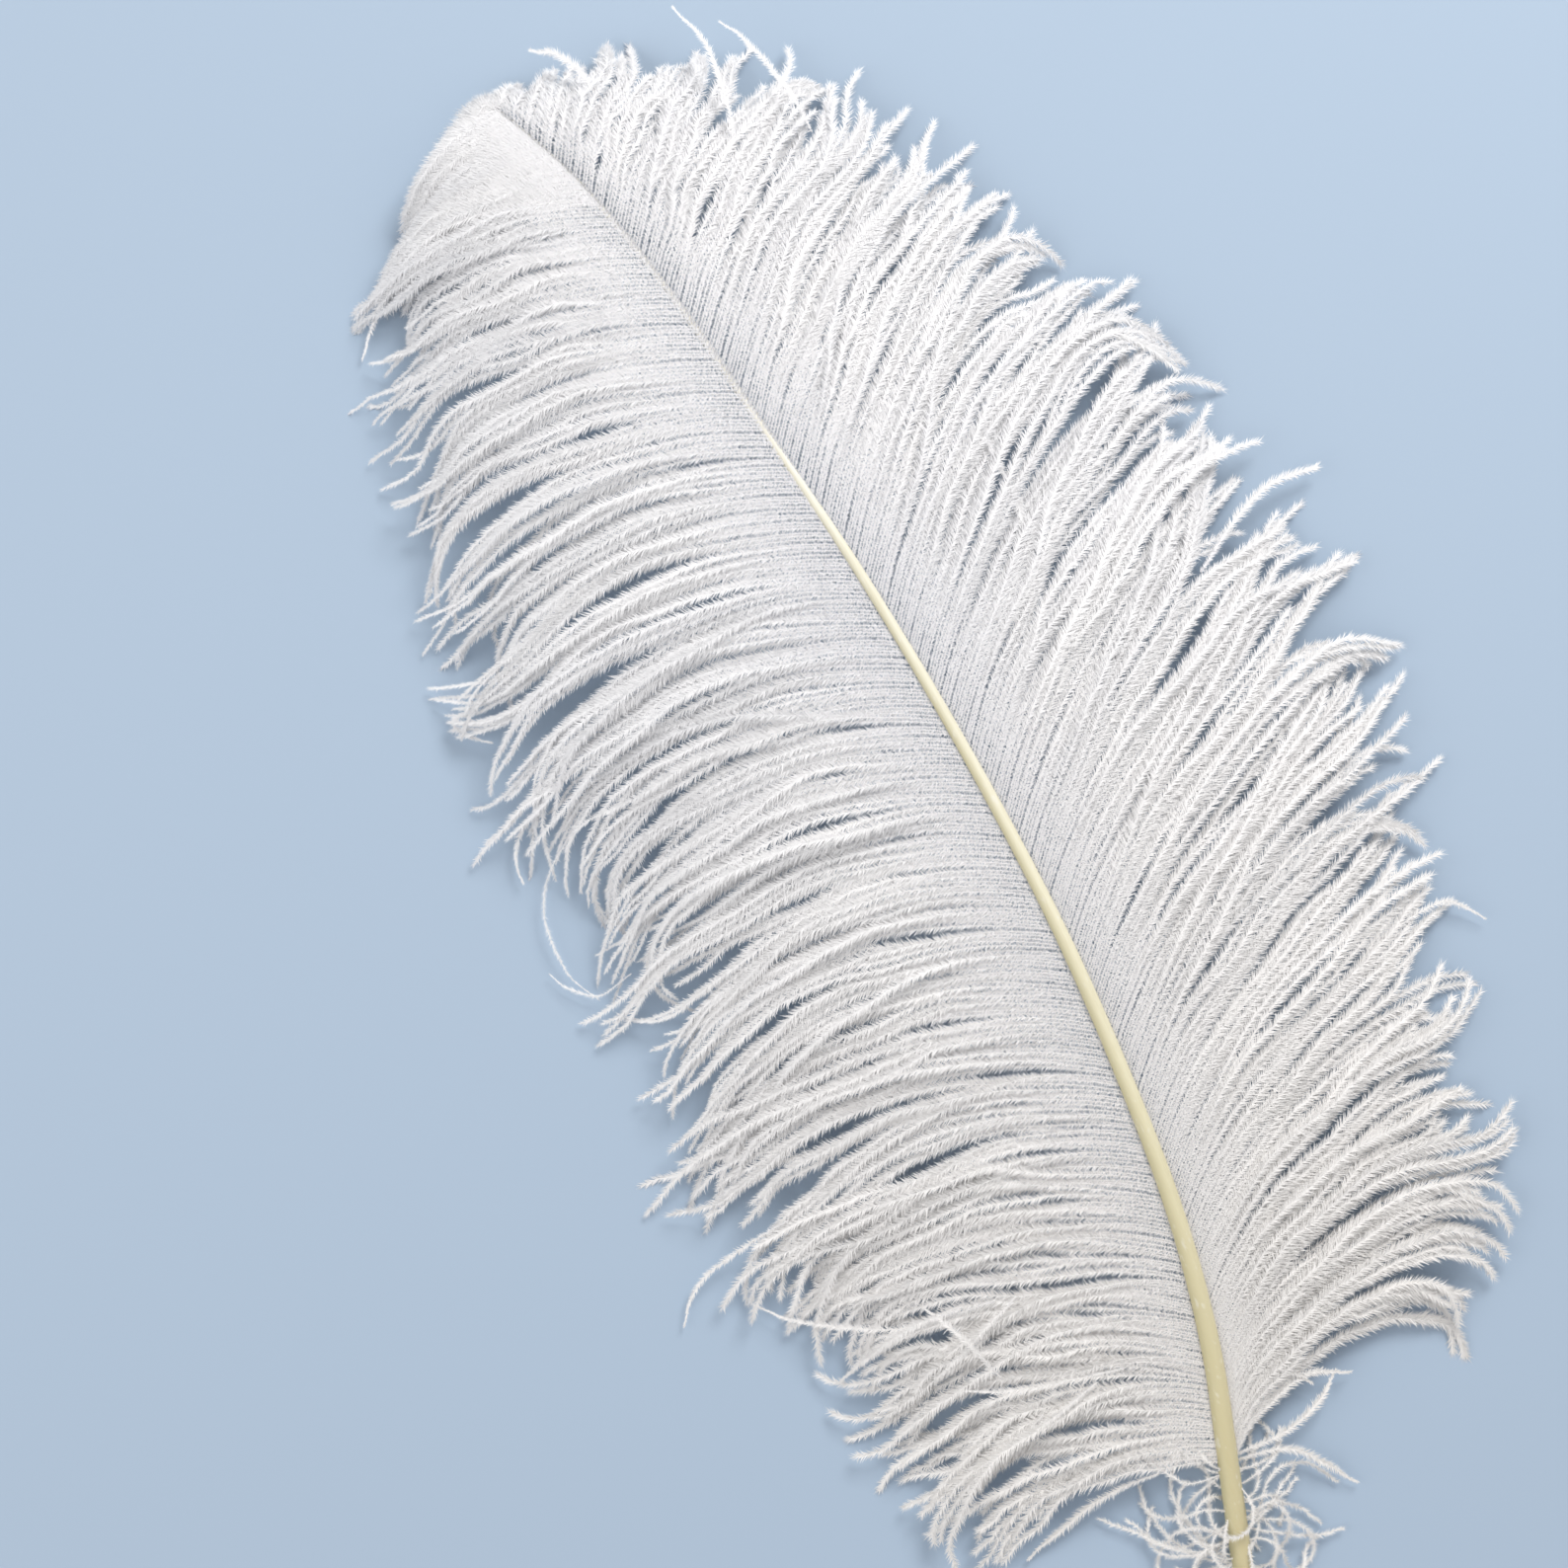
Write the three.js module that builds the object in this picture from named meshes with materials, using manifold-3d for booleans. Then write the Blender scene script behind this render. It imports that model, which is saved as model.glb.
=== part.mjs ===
// A white ostrich plume that lies on a flat surface as it would when picked up and put down:
// a bowed shaft that arches off the surface, and on each side a vane of barbs that cling in locks
// and droop until their tips rest. It grew as one piece, so it is one solid.
// Millimetres, +Z up. The bare quill points to -Y and the drooping head to +Y. The origin lies on
// the surface, under the middle of the plume's box.
import * as THREE from "three";
import { mergeVertices } from "three/addons/utils/BufferGeometryUtils.js";
import Module from "manifold-3d";

// Driving dimensions of the whole
const shaftLength = 646; // in a straight line from the quill's end to the shaft's tip
const boxCentreX = 38.1; // the middle of the plume's width, from the quill's end
const boxCentreY = 326.2; // the middle of its length, from the quill's end

// The shaft
const shaftSides = 10;
const shaftStep = 24; // length of one straight stretch of the shaft
const quillRound = 10; // length over which the quill's end is rounded
const quillRings = [0, 1.2, 4]; // where that rounding has its points

// The locks of barbs
const innerStart = 53; // where the lowest lock of the inner vane grows, from the quill's end
const outerStart = 47; // the same on the outer vane
const lockCount = 37; // on each side of the shaft
const lockSteps = 7;
const tipCrowding = 1.3; // above 1 shortens the steps towards a lock's tip
const lockRidge = 2.8; // thickness of a lock along its middle
const tipThickness = 0.4; // the same at its tip, as a share
const rootShare = 1.2; // half a lock's width, over half the room that it has
const tipShare = 0.1; // the same at its tip
const taperStart = 0.72; // how far along a lock its taper begins
const lockLap = 1.1; // how far a lock's upper edge rises over its neighbour's lower one
const lapStart = 0.25; // how far along a lock it laps over in full
const lockPuff = 5; // how far a lock arches above a plain droop
const droopPower = 1.7; // higher keeps a lock level for longer before it droops
const tipHeight = 0.4; // height of a lock's middle where its tip lies on the surface
const lengthVariety = 0.05; // how far locks differ in length, as a share
const turnVariety = 3; // how far they bend off their neighbours' way, in degrees
const downCount = 2; // short tufts of down below the vane, on each side
const downRoom = 12; // between them

// The shaft: distance from the quill's end, bow to the side, height of its middle, radius
const shaftRows = [
  [0, 0, 3.2, 3.6],
  [14, 4.8, 3.8, 4.3],
  [50, 16.6, 7.5, 4.2],
  [95, 31, 12, 3.9],
  [142, 41, 18, 3.55],
  [191, 46.6, 24.5, 3.2],
  [265, 50.4, 34, 2.8],
  [341, 49, 40.5, 2.4],
  [420, 43.5, 44.5, 2],
  [487, 35.2, 45, 1.7],
  [551, 26.5, 41, 1.4],
  [604, 15, 32, 1.2],
  [646, 0, 18, 1],
];

// The barbs of each vane: distance of their root from the quill's end, their length, and the angles
// that they make with the shaft at the root, halfway along and at the tip, in degrees
const innerRows = [
  [20, 20, 50, 84, 110],
  [41, 34, 66, 100, 130],
  [53, 100, 76, 104, 128],
  [68, 122, 70, 98, 122],
  [85, 140, 64, 92, 112],
  [125, 160, 58, 86, 104],
  [165, 178, 56, 90, 112],
  [205, 186, 55, 88, 118],
  [250, 177, 55, 88, 120],
  [300, 174, 55, 87, 120],
  [360, 178, 54, 86, 120],
  [430, 169, 54, 84, 116],
  [480, 152, 54, 80, 112],
  [530, 130, 54, 76, 104],
  [575, 107, 52, 70, 96],
  [610, 88, 52, 72, 104],
  [634, 70, 58, 82, 114],
  [646, 58, 66, 90, 118],
];
const outerRows = [
  [20, 24, 34, 60, 90],
  [36, 48, 24, 46, 60],
  [47, 128, 18, 66, 104],
  [65, 142, 22, 63, 96],
  [85, 151, 26, 61, 87],
  [125, 156, 31, 60, 75],
  [165, 172, 34, 60, 68],
  [205, 179, 37, 60, 66],
  [250, 183, 38, 60, 66],
  [300, 179, 40, 60, 70],
  [360, 169, 42, 60, 76],
  [430, 149, 44, 60, 78],
  [480, 136, 46, 61, 72],
  [530, 115, 48, 62, 70],
  [575, 85, 50, 62, 70],
  [610, 52, 50, 62, 76],
  [634, 25, 46, 64, 84],
  [646, 12, 30, 60, 90],
];

const wasm = await Module();
wasm.setup();

// Smooth values between the rows of a table, whose first column says where each row stands
function along(rows, at) {
  const last = rows.length - 1;
  let low = 0;
  while (low < last - 1 && rows[low + 1][0] <= at) {
    low += 1;
  }
  const span = rows[low + 1][0] - rows[low][0];
  const t = THREE.MathUtils.clamp((at - rows[low][0]) / span, 0, 1);
  const slope = (row, column) => {
    const before = rows[Math.max(row - 1, 0)];
    const after = rows[Math.min(row + 1, last)];
    return (after[column] - before[column]) / (after[0] - before[0]);
  };
  const between = (column) =>
    (2 * t ** 3 - 3 * t ** 2 + 1) * rows[low][column] +
    (t ** 3 - 2 * t ** 2 + t) * span * slope(low, column) +
    (3 * t ** 2 - 2 * t ** 3) * rows[low + 1][column] +
    (t ** 3 - t ** 2) * span * slope(low + 1, column);
  return rows[low].slice(1).map((value, i) => between(i + 1));
}

// A steady number from -1 to 1, so that no two locks are alike
function vary(index, kind) {
  const wave = Math.sin(index * 12.9898 + kind * 78.233) * 43758.5453;
  return 2 * (wave - Math.floor(wave)) - 1;
}

// A closed skin over a row of rings that have the same number of points
function skin(rings) {
  const count = rings[0].length;
  const faces = [];
  for (let ring = 0; ring < rings.length - 1; ring += 1) {
    for (let i = 0; i < count; i += 1) {
      const here = ring * count + i;
      const beside = ring * count + ((i + 1) % count);
      faces.push(here, beside, beside + count);
      faces.push(here, beside + count, here + count);
    }
  }
  const end = (rings.length - 1) * count;
  for (let i = 1; i < count - 1; i += 1) {
    faces.push(0, i + 1, i);
    faces.push(end, end + i, end + i + 1);
  }
  const points = rings.flat().flatMap((point) => point.toArray());
  const geometry = new THREE.BufferGeometry();
  geometry.setAttribute("position", new THREE.Float32BufferAttribute(points, 3));
  geometry.setIndex(faces);
  return geometry;
}

function solid(geometry) {
  const bare = geometry.clone();
  bare.deleteAttribute("normal");
  bare.deleteAttribute("uv");
  const merged = mergeVertices(bare);
  return new wasm.Manifold(
    new wasm.Mesh({
      numProp: 3,
      vertProperties: Float32Array.from(merged.attributes.position.array),
      triVerts: Uint32Array.from(merged.index.array),
    }),
  );
}

// The middle of the shaft, its radius and its heading in plan, at a distance from the quill's end
function shaftAt(distance) {
  const [x, z, radius] = along(shaftRows, distance);
  const [before] = along(shaftRows, distance - 1);
  const [after] = along(shaftRows, distance + 1);
  const middle = new THREE.Vector3(x, distance, z);
  return { middle, radius, heading: Math.atan2(2, after - before) };
}

// A round shaft with a rounded quill end, whose lowest side is level
function shaftSolid() {
  const steps = Math.round((shaftLength - quillRound) / shaftStep);
  const stations = [...quillRings];
  for (let step = 0; step <= steps; step += 1) {
    stations.push(quillRound + (step / steps) * (shaftLength - quillRound));
  }
  const rings = stations.map((distance) => {
    const { middle, radius, heading } = shaftAt(distance);
    const fromRound = 1 - Math.min(distance / quillRound, 1);
    const rounded = radius * Math.max(Math.sqrt(1 - fromRound ** 2), 0.3);
    const side = new THREE.Vector3(Math.sin(heading), -Math.cos(heading), 0);
    return Array.from({ length: shaftSides }, (item, i) => {
      const turn = (i / shaftSides) * 2 * Math.PI;
      const point = middle.clone().addScaledVector(side, rounded * Math.cos(turn));
      point.z -= rounded * Math.sin(turn);
      return point;
    });
  });
  return solid(skin(rings));
}

// How far along a lock each of its steps lies
function shareAt(step) {
  return 1 - (1 - step / lockSteps) ** tipCrowding;
}

// The middle line of a lock, from its root on the shaft to its tip on the surface.
// side is 1 for the outer vane and -1 for the inner one; extraTurn bends it off its neighbours' way.
function lockPath(distance, side, stretch, extraTurn) {
  const [length, rootAngle, midAngle, tipAngle] = along(side < 0 ? innerRows : outerRows, distance);
  const { middle, heading } = shaftAt(distance);
  const path = [middle];
  for (let step = 1; step <= lockSteps; step += 1) {
    const end = shareAt(step);
    const stride = (end - shareAt(step - 1)) * length * stretch;
    const t = (end + shareAt(step - 1)) / 2;
    const ownAngle =
      rootAngle * (1 - t) * (1 - 2 * t) + midAngle * 4 * t * (1 - t) + tipAngle * t * (2 * t - 1);
    const course = heading - side * THREE.MathUtils.degToRad(ownAngle + extraTurn * t);
    const last = path[step - 1];
    const drooped = middle.z * (1 - end ** droopPower) + tipHeight * end;
    path.push(
      new THREE.Vector3(
        last.x + Math.cos(course) * stride,
        last.y + Math.sin(course) * stride,
        drooped + lockPuff * 4 * end * (1 - end),
      ),
    );
  }
  return path;
}

// One lock of barbs as a flat, curved blade with a ridge. It fills the room between the paths that
// start half a room below and above its own, and narrows to its tip.
function lockSolid(distance, side, index, room) {
  const stretch = 1 + lengthVariety * vary(index, side);
  const extraTurn = turnVariety * vary(index, side + 5);
  const path = lockPath(distance, side, stretch, extraTurn);
  const lower = lockPath(distance - room / 2, side, stretch, extraTurn);
  const upper = lockPath(distance + room / 2, side, stretch, extraTurn);
  const rings = path.map((point, step) => {
    const t = shareAt(step);
    const fullness = 1 - THREE.MathUtils.smoothstep(t, taperStart, 1);
    const share = tipShare + (rootShare - tipShare) * fullness;
    const ridge = new THREE.Vector3(0, 0, (lockRidge / 2) * (tipThickness + (1 - tipThickness) * fullness));
    const lap = new THREE.Vector3(0, 0, lockLap * Math.min(t / lapStart, 1) * fullness);
    const ring = [
      point.clone().lerp(lower[step], share).sub(lap),
      point.clone().add(ridge),
      point.clone().lerp(upper[step], share).add(lap),
      point.clone().sub(ridge),
    ];
    return side < 0 ? ring : ring.reverse();
  });
  return solid(skin(rings));
}

// The shaft with both vanes grown from it
function plumeSolid() {
  const pieces = [shaftSolid()];
  for (const side of [-1, 1]) {
    const start = side < 0 ? innerStart : outerStart;
    const room = (shaftLength - start) / lockCount;
    for (let index = 0; index < lockCount; index += 1) {
      pieces.push(lockSolid(start + (index + 0.5) * room, side, index, room));
    }
    for (let index = 0; index < downCount; index += 1) {
      pieces.push(lockSolid(start - (index + 1) * downRoom, side, lockCount + index, downRoom));
    }
  }
  return wasm.Manifold.union(pieces);
}

// What would reach below the surface is trimmed flat, so that the quill and the tips lie on it
function trimmedFlat(plume) {
  const depth = 20;
  const below = new THREE.BoxGeometry(2 * shaftLength, 4 * shaftLength, depth);
  below.translate(0, 0, -depth / 2);
  return plume.subtract(solid(below));
}

function asGeometry(shape) {
  const mesh = shape.getMesh();
  const geometry = new THREE.BufferGeometry();
  geometry.setAttribute("position", new THREE.Float32BufferAttribute(mesh.vertProperties, 3));
  geometry.setIndex(new THREE.BufferAttribute(mesh.triVerts, 1));
  return geometry;
}

const barbWhite = new THREE.MeshStandardMaterial({ color: 0xf0efec, roughness: 0.9, metalness: 0 });
const feather = new THREE.Mesh(asGeometry(trimmedFlat(plumeSolid())), barbWhite);
feather.name = "feather";

const plume = new THREE.Group();
plume.add(feather);
plume.position.set(-boxCentreX, -boxCentreY, 0);

export default plume;
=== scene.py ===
import math

import bpy
import numpy as np
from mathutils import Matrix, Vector


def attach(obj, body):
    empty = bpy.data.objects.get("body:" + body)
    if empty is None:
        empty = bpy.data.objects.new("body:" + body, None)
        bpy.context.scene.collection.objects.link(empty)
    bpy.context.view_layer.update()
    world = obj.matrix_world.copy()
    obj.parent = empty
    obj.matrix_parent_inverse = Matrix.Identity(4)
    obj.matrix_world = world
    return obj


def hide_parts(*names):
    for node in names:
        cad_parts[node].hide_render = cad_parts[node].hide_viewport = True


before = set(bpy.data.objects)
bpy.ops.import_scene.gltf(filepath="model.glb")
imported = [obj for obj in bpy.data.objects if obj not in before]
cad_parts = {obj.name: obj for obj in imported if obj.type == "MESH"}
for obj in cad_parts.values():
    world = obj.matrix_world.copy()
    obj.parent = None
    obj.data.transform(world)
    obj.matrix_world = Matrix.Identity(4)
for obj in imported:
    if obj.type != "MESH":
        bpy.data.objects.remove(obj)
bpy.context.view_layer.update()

mm = 0.001
tiny = 1e-9  # keeps empty lengths from dividing by nothing
rng = np.random.default_rng(11)  # pieces are made in a fixed order, so each run gives the same ones

# the plume's layout from the end of its quill, in millimetres and degrees
plume = {
    "shaftLength": 646.0,
    "boxCentre": (38.1, 326.2),  # the frame's origin, seen from the quill's end
    "lockCount": 37,  # on each side
    "lengthVariety": 0.05,  # how much the locks differ in length
    "turnVariety": 3.0,  # and how much they turn off their even way
}

# distance from the quill's end, bow, height, radius
shaftRows = np.array([
    [0, 0, 3.2, 3.6],
    [14, 4.8, 3.8, 4.3],
    [50, 16.6, 7.5, 4.2],
    [95, 31, 12, 3.9],
    [142, 41, 18, 3.55],
    [191, 46.6, 24.5, 3.2],
    [265, 50.4, 34, 2.8],
    [341, 49, 40.5, 2.4],
    [420, 43.5, 44.5, 2],
    [487, 35.2, 45, 1.7],
    [551, 26.5, 41, 1.4],
    [604, 15, 32, 1.2],
    [646, 0, 18, 1],
])


def alongRows(rows, at):  # smooth values between the rows
    xs, ys = rows[:, 0], rows[:, 1:]
    last = len(xs) - 1
    before = np.maximum(np.arange(last + 1) - 1, 0)
    after = np.minimum(np.arange(last + 1) + 1, last)
    slopes = (ys[after] - ys[before]) / (xs[after] - xs[before])[:, None]
    at = np.atleast_1d(np.asarray(at, float))
    low = np.clip(np.searchsorted(xs, at, side="right") - 1, 0, last - 1)
    span = (xs[low + 1] - xs[low])[:, None]
    t = np.clip((at - xs[low])[:, None] / span, 0, 1)
    return (
        (2 * t**3 - 3 * t**2 + 1) * ys[low]
        + (t**3 - 2 * t**2 + t) * span * slopes[low]
        + (3 * t**2 - 2 * t**3) * ys[low + 1]
        + (t**3 - t**2) * span * slopes[low + 1]
    )


def smoothStep(x, low, high):  # 0 up to low, 1 from high on
    t = np.clip((x - low) / (high - low), 0, 1)
    return t * t * (3 - 2 * t)


def shaftAt(distance):  # middle in the frame's millimetres, radius and heading
    distance = np.atleast_1d(np.asarray(distance, float))
    bow, height, radius = alongRows(shaftRows, distance).T
    ahead = alongRows(shaftRows, distance + 1)[:, 0]
    behind = alongRows(shaftRows, distance - 1)[:, 0]
    middle = np.stack([bow - plume["boxCentre"][0], distance - plume["boxCentre"][1], height], 1)
    return middle, radius, np.arctan2(2, ahead - behind)


def lockVary(index, kind):  # the same steady variation that the solid locks have
    wave = np.sin(index * 12.9898 + kind * 78.233) * 43758.5453
    return 2 * (wave - np.floor(wave)) - 1


def evenShares(count):  # from 0 to 1, one somewhere in each even part
    return (np.arange(count) + rng.uniform(0, 1, count)) / count


def groupDraw(draw, group, *limits):  # one random value for each group, given to all its barbs
    return draw(*limits, group.max() + 1)[group]


# root of the barb, its length, and its angle to the shaft at the root, halfway and at the tip
innerRows = np.array([
    [20, 20, 50, 84, 110],
    [41, 34, 66, 100, 130],
    [53, 100, 76, 104, 128],
    [68, 122, 70, 98, 122],
    [85, 140, 64, 92, 112],
    [125, 160, 58, 86, 104],
    [165, 178, 56, 90, 112],
    [205, 186, 55, 88, 118],
    [250, 177, 55, 88, 120],
    [300, 174, 55, 87, 120],
    [360, 178, 54, 86, 120],
    [430, 169, 54, 84, 116],
    [480, 152, 54, 80, 112],
    [530, 130, 54, 76, 104],
    [575, 107, 52, 70, 96],
    [610, 88, 52, 72, 104],
    [634, 70, 58, 82, 114],
    [646, 58, 66, 90, 118],
])
outerRows = np.array([
    [20, 24, 34, 60, 90],
    [36, 48, 24, 46, 60],
    [47, 128, 18, 66, 104],
    [65, 142, 22, 63, 96],
    [85, 151, 26, 61, 87],
    [125, 156, 31, 60, 75],
    [165, 172, 34, 60, 68],
    [205, 179, 37, 60, 66],
    [250, 183, 38, 60, 66],
    [300, 179, 40, 60, 70],
    [360, 169, 42, 60, 76],
    [430, 149, 44, 60, 78],
    [480, 136, 46, 61, 72],
    [530, 115, 48, 62, 70],
    [575, 85, 50, 62, 70],
    [610, 52, 50, 62, 76],
    [634, 25, 46, 64, 84],
    [646, 12, 30, 60, 90],
])

# from the quill's end, how many degrees the tips turn back on the inner and the outer side
hookRows = np.array([
    [40, 16, 38],
    [65, 14, 32],
    [85, 12, 18],
    [125, 12, 4],
    [250, 12, 0],
    [300, 18, -4],
    [322, 22, -22],
    [345, 24, -4],
    [390, 16, 24],
    [430, 12, 12],
    [470, 12, 0],
    [520, 12, -4],
    [600, 10, -14],
    [646, 8, -24],
])

# the vane on the inside of the shaft's bow
innerVane = {
    "name": "innerVane",
    "side": -1,
    "rows": innerRows,
    "hookColumn": 0,  # of the rows above, after their distance
    "start": 53.0,  # where its lowest barbs grow
    "fingerBarbs": (2, 7),  # a finger has from the first to one under the second
    "lockTurn": 1.1,  # share of the solid locks' turn
    "lockParting": 0.25,  # how sharply neighbouring locks part
    "lockCling": 0.08,
    "fingerTurn": 2.8,  # how far a finger bends off the lock's way
    "cling": (0.4, 0.95, 0.6),  # from where along its barbs cling, to where, how closely
    "fork": 0.5,  # how far the barbs of a finger part again at its end
    "hookSpread": 28,  # how unevenly the tips turn
    "hookDrift": 10,  # the same for whole clusters
    "tipCurl": 42,  # how far the very ends of the fingers curl
    "looseShare": 0.09,  # of the barbs lie loose on top
    "looseTurn": (0, 9),
    "crossShare": 0.18,  # of the fingers lie across the others
    "crossTurn": 9,
    "untidyBase": (100, 290, 2.0),  # it is less combed below, fading between these
    "straightBase": (110, 220, 0),  # its tips are straighter below
    "calmHead": (580, 625, 0.8),  # and it is calm above
    "thinTips": 0.45,  # how much shorter the barbules at the tips are, along the middle
    "fullTips": 0,  # and how much longer everywhere
    "rootLength": 0.92,  # the barbules' share of their length beside the shaft
}

# the same for the vane on the outside of the bow
outerVane = {
    "name": "outerVane",
    "side": 1,
    "rows": outerRows,
    "hookColumn": 1,
    "start": 47.0,
    "fingerBarbs": (2, 8),
    "lockTurn": 0.8,
    "lockParting": 0.4,
    "lockCling": 0.04,
    "fingerTurn": 1.6,
    "cling": (0.6, 0.97, 0.76),
    "fork": 0.3,
    "hookSpread": 26,
    "hookDrift": 11,
    "tipCurl": 55,
    "looseShare": 0.14,
    "looseTurn": (-9, 8),
    "crossShare": 0.1,
    "crossTurn": 7,
    "untidyBase": (100, 290, 0),
    "straightBase": (110, 220, 0.6),
    "calmHead": (585, 635, 0.7),
    "thinTips": 0,
    "fullTips": 0.12,
    "rootLength": 0.72,
}

# how the barbs of both vanes lie; shares are shares of a barb's length
barbLook = {
    "steps": 26,
    "spacing": 1.65,  # between neighbouring barbs along the shaft
    "baseSpacing": (1.05, 70, 150),  # closer near the base, up to there, as above from there
    "jitter": 0.35,  # how far a root is off its even place
    "onTop": (400, 520),  # the roots move from the shaft's middle to its top between these
    "hookFrom": 0.72,  # share where a tip starts to hook
    "hookPower": 1.3,  # how late it does
    "curlFrom": 0.87,
    "droopPower": 1.7,  # how late a barb droops to the height of its tip
    "tipHeight": (0.6, 7),
    "puff": 5.0,  # how far it rises above that halfway
    "puffLength": 60.0,  # shorter barbs rise less
    "lowest": 0.35,  # a stem's middle above the surface
    "fingerLength": 0.08,  # how much the fingers differ in length
    "longest": 1.07,  # of the length that the rows give
    "cutLength": (0.86, 1.04),  # a barb's own share of its length
    "barbTurn": 3.2,  # how far single barbs turn
    "clusterLength": 17,  # of the tips that turn alike
    "clingVariety": (0.75, 1.15),
    "lockClingAt": (0.3, 0.9),
    "forkAt": 0.82,
    "ownTurn": 0.5,  # share of a finger's turn that a barb has before it clings
    "lockedTurn": 0.6,  # the same for a barb that clings to its lock
    "crossBarbs": 0.55,  # of a crossing finger's barbs do cross
    "crossLift": (1.5, 4),
    "looseLift": (1.5, 5),
    "looseHold": 0.75,  # how much less the loose ones cling
    "liftSpread": 0.8,
    "liftAt": (0.08, 0.5),
    "tipSettle": (0.7, 0.6),  # from where on the lift is lost, and how much of it at the tip
    "lockCrown": 1.8,  # how far the middle of a lock stands above its edges
    "lockRoll": 15,  # how far its edges roll down
    "rollSpread": 7,
    "thinBetween": ((180, 300), (560, 620)),  # where thinTips fades in and out
    "thinVariety": (0.4, 1.2),
    "mostWave": (1, 1.2),  # untidy barbs wave no more than this, in fingers and on their own
    "fingerTint": 0.6,  # share of a barb's tint that its whole finger has
}

# share of a barb's length at each of its points, and between them
pointShares = np.linspace(0, 1, barbLook["steps"] + 1)
betweenShares = (pointShares[1:] + pointShares[:-1]) / 2


def barbAngles(shape, turn, hook, curl):
    # degrees off the shaft between the points, one row for each barb
    rootAngle, midAngle, tipAngle = (column[:, None] for column in shape.T[1:])
    t = betweenShares
    hooked = np.clip((t - barbLook["hookFrom"]) / (1 - barbLook["hookFrom"]), 0, 1)
    curled = np.clip((t - barbLook["curlFrom"]) / (1 - barbLook["curlFrom"]), 0, 1)
    return (
        rootAngle * (1 - t) * (1 - 2 * t)
        + midAngle * 4 * t * (1 - t)
        + tipAngle * t * (2 * t - 1)
        + turn[:, None] * t
        + hook[:, None] * hooked ** barbLook["hookPower"]
        + curl[:, None] * curled
    )


def barbPaths(root, heading, side, shape, turn, hook, curl, tipHeight):
    # middle lines from the shaft to the tips, one row of points for each barb
    length = shape[:, 0, None]
    course = heading[:, None] - side * np.radians(barbAngles(shape, turn, hook, curl))
    stride = length / barbLook["steps"]
    path = np.zeros((len(root), len(pointShares), 3))
    path[:, 0] = root
    path[:, 1:, 0] = root[:, 0, None] + np.cumsum(np.cos(course) * stride, axis=1)
    path[:, 1:, 1] = root[:, 1, None] + np.cumsum(np.sin(course) * stride, axis=1)
    end = pointShares[1:]
    path[:, 1:, 2] = (
        root[:, 2, None] * (1 - end ** barbLook["droopPower"])
        + tipHeight[:, None] * end
        + barbLook["puff"] * np.minimum(length / barbLook["puffLength"], 1) * 4 * end * (1 - end)
    )
    return path


waveLook = {
    "barb": ((1.3, 1.4), (3.1, 0.8), (7.0, 0.35)),  # how many along a barb, how wide
    "finger": ((1.1, 2.0), (2.3, 1.1)),  # the same for the barbs of a finger together
    "often": (0.7, 1.3),  # how much they vary
    "width": (0.2, 1),
    "growAt": (0.03, 0.5),
    "moreAt": (0.6, 1),  # they grow again towards the tip, by this much
    "more": 0.8,
}


def waved(path, amount, waves=waveLook["barb"], group=None):
    # gentle sideways waves, each barb's own or a whole group's
    count = len(path)
    group = np.arange(count) if group is None else group
    wave = np.zeros((count, len(pointShares)))
    for many, size in waves:
        phase = groupDraw(rng.uniform, group, 0, 2 * math.pi)[:, None]
        often = many * groupDraw(rng.uniform, group, *waveLook["often"])[:, None]
        width = size * groupDraw(rng.uniform, group, *waveLook["width"])[:, None]
        wave += width * np.sin(2 * math.pi * often * pointShares + phase)
    growing = smoothStep(pointShares, *waveLook["growAt"])
    growing += waveLook["more"] * smoothStep(pointShares, *waveLook["moreAt"])
    wave *= growing
    wave *= (amount * np.ones(count))[:, None]
    along = np.gradient(path, axis=1)
    sideways = np.stack([-along[..., 1], along[..., 0]], -1)
    sideways /= np.linalg.norm(sideways, axis=-1, keepdims=True) + tiny
    path[..., :2] += sideways * wave[..., None]
    path[..., 2] = np.maximum(path[..., 2], barbLook["lowest"])
    return path


def cutTo(path, keep):  # points of each path at other shares of its length
    steps = barbLook["steps"]
    at = np.clip(keep * steps, 0, steps - 1e-6)  # below the last point
    low = at.astype(int)
    part = (at - low)[..., None]
    rows = np.arange(len(path))[:, None]
    beyond = np.maximum(keep - 1, 0)[..., None] * steps
    end = (path[:, -1] - path[:, -2])[:, None, :]
    return path[rows, low] * (1 - part) + path[rows, low + 1] * part + end * beyond


def rootPlaces(start):  # distances along the shaft, one for each barb
    closest, near, far = barbLook["baseSpacing"]
    places = np.linspace(start, plume["shaftLength"], 2000)  # many, to add up the gaps
    gaps = closest + (barbLook["spacing"] - closest) * smoothStep(places, near, far)
    passed = np.cumsum((places[1] - places[0]) / gaps)
    count = int(passed[-1])
    distance = np.interp(np.arange(count) + 0.5, passed, places)
    jitter = rng.uniform(-barbLook["jitter"], barbLook["jitter"], count)
    return np.clip(distance + jitter, start, plume["shaftLength"])


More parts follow.
